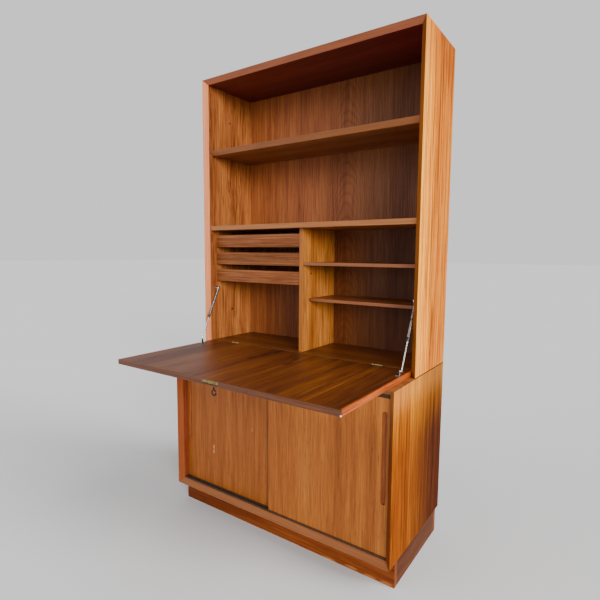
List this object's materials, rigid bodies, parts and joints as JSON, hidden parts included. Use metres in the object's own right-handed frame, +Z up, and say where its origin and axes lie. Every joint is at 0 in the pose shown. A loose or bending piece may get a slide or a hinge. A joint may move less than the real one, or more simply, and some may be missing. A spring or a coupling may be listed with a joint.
{
  "type": "secretary desk",
  "caption": "Tall teak secretary: open bookcase over a drop-front desk with small drawers and pigeonholes, on a deeper cabinet with sliding doors and a recessed plinth.",
  "frame": {"origin": "on the floor at the centre of the plinth", "axes": "+Z up, +X to the right of someone facing the desk, +Y towards the wall"},
  "size_m": [1, 0.7668, 1.845],
  "materials": {
    "teak_veneer": "satin oiled",
    "solid_teak": "satin oiled",
    "drawer_wood": "satin",
    "back_panel": "satin",
    "brass": "aged satin",
    "chrome": "polished",
    "steel": "satin",
    "track_plastic": "matte"
  },
  "bodies": {
    "cabinet": {"upper_side_left": "teak_veneer", "upper_side_right": "teak_veneer", "upper_top": "teak_veneer", "upper_bottom": "teak_veneer", "upper_back": "back_panel", "desk_shelf": "teak_veneer", "book_shelf": "teak_veneer", "divider": "teak_veneer", "pigeon_shelf_upper": "teak_veneer", "pigeon_shelf_lower": "teak_veneer", "shelf_pins": "brass", "drawer_runners": "solid_teak", "hinge_leaves_case": "brass", "hinge_pins": "brass", "case_screws": "brass", "lock_strike": "brass", "stay_plates": "chrome", "lower_side_left": "teak_veneer", "lower_side_right": "teak_veneer", "lower_top": "teak_veneer", "lower_bottom": "teak_veneer", "lower_back": "back_panel", "lower_shelf": "teak_veneer", "door_track_top": "track_plastic", "door_track_bottom": "track_plastic", "case_bolts": "steel", "plinth_front": "teak_veneer", "plinth_rear": "teak_veneer", "plinth_sides": "teak_veneer", "plinth_rail": "teak_veneer"},
    "flap": {"flap_panel": "teak_veneer", "flap_edge_front": "solid_teak", "flap_edge_left": "solid_teak", "flap_edge_right": "solid_teak", "hinge_leaves_flap": "brass", "flap_screws": "brass", "lock_case": "steel", "lock_plate": "brass", "stay_foot_left": "chrome", "stay_foot_right": "chrome"},
    "lock_bolt": {"lock_bolt": "brass"},
    "key": {"key": "brass"},
    "drawer_1": {"drawer_1_front": "teak_veneer", "drawer_1_sides": "drawer_wood", "drawer_1_back": "drawer_wood", "drawer_1_bottom": "back_panel"},
    "drawer_2": {"drawer_2_front": "teak_veneer", "drawer_2_sides": "drawer_wood", "drawer_2_back": "drawer_wood", "drawer_2_bottom": "back_panel"},
    "drawer_3": {"drawer_3_front": "teak_veneer", "drawer_3_sides": "drawer_wood", "drawer_3_back": "drawer_wood", "drawer_3_bottom": "back_panel"},
    "door_left": {"door_left": "teak_veneer"},
    "door_right": {"door_right": "teak_veneer"},
    "stay_tube_left": {"stay_tube_left": "chrome"},
    "stay_rod_left": {"stay_rod_left": "chrome"},
    "stay_tube_right": {"stay_tube_right": "chrome"},
    "stay_rod_right": {"stay_rod_right": "chrome"}
  },
  "joints": [
    {"name": "flap_hinge", "type": "hinge", "parent": "cabinet", "child": "flap", "pos_m": [0, -0.0434, 0.7], "axis": [-1, 0, 0], "range_deg": [0, 90]},
    {"name": "key_turn", "type": "hinge", "parent": "flap", "child": "key", "pos_m": [0.005, -0.5248, 0.68], "axis": [0, 0, 1], "range_deg": [0, 90]},
    {"name": "bolt_slide", "type": "slide", "parent": "flap", "child": "lock_bolt", "axis": [0, -1, 0], "range_m": [0, 0.007]},
    {"name": "drawer_1_slide", "type": "slide", "parent": "cabinet", "child": "drawer_1", "axis": [0, 1, 0], "range_m": [-0.17, 0]},
    {"name": "drawer_2_slide", "type": "slide", "parent": "cabinet", "child": "drawer_2", "axis": [0, 1, 0], "range_m": [-0.17, 0]},
    {"name": "drawer_3_slide", "type": "slide", "parent": "cabinet", "child": "drawer_3", "axis": [0, 1, 0], "range_m": [-0.17, 0]},
    {"name": "door_left_slide", "type": "slide", "parent": "cabinet", "child": "door_left", "axis": [1, 0, 0], "range_m": [0, 0.462]},
    {"name": "door_right_slide", "type": "slide", "parent": "cabinet", "child": "door_right", "axis": [-1, 0, 0], "range_m": [0, 0.468]},
    {"name": "stay_tube_left_hinge", "type": "hinge", "parent": "cabinet", "child": "stay_tube_left", "pos_m": [-0.4725, -0.0224, 0.938], "axis": [1, 0, 0], "range_deg": [0, 22.67]},
    {"name": "stay_rod_left_slide", "type": "slide", "parent": "stay_tube_left", "child": "stay_rod_left", "axis": [0, 0.4302, 0.9027], "range_m": [0, 0.09656]},
    {"name": "stay_tube_right_hinge", "type": "hinge", "parent": "cabinet", "child": "stay_tube_right", "pos_m": [0.4725, -0.0224, 0.938], "axis": [1, 0, 0], "range_deg": [0, 22.67]},
    {"name": "stay_rod_right_slide", "type": "slide", "parent": "stay_tube_right", "child": "stay_rod_right", "axis": [0, 0.4302, 0.9027], "range_m": [0, 0.09656]}
  ],
  "couplings": [
    {"joint": "key_turn", "follows": "bolt_slide", "rad_per_m": 224.39},
    {"joint": "stay_tube_left_hinge", "follows": "flap_hinge", "ratio": 0.25176},
    {"joint": "stay_rod_left_slide", "follows": "flap_hinge", "m_per_rad": 0.06144},
    {"joint": "stay_tube_right_hinge", "follows": "flap_hinge", "ratio": 0.25176},
    {"joint": "stay_rod_right_slide", "follows": "flap_hinge", "m_per_rad": 0.06144}
  ]
}
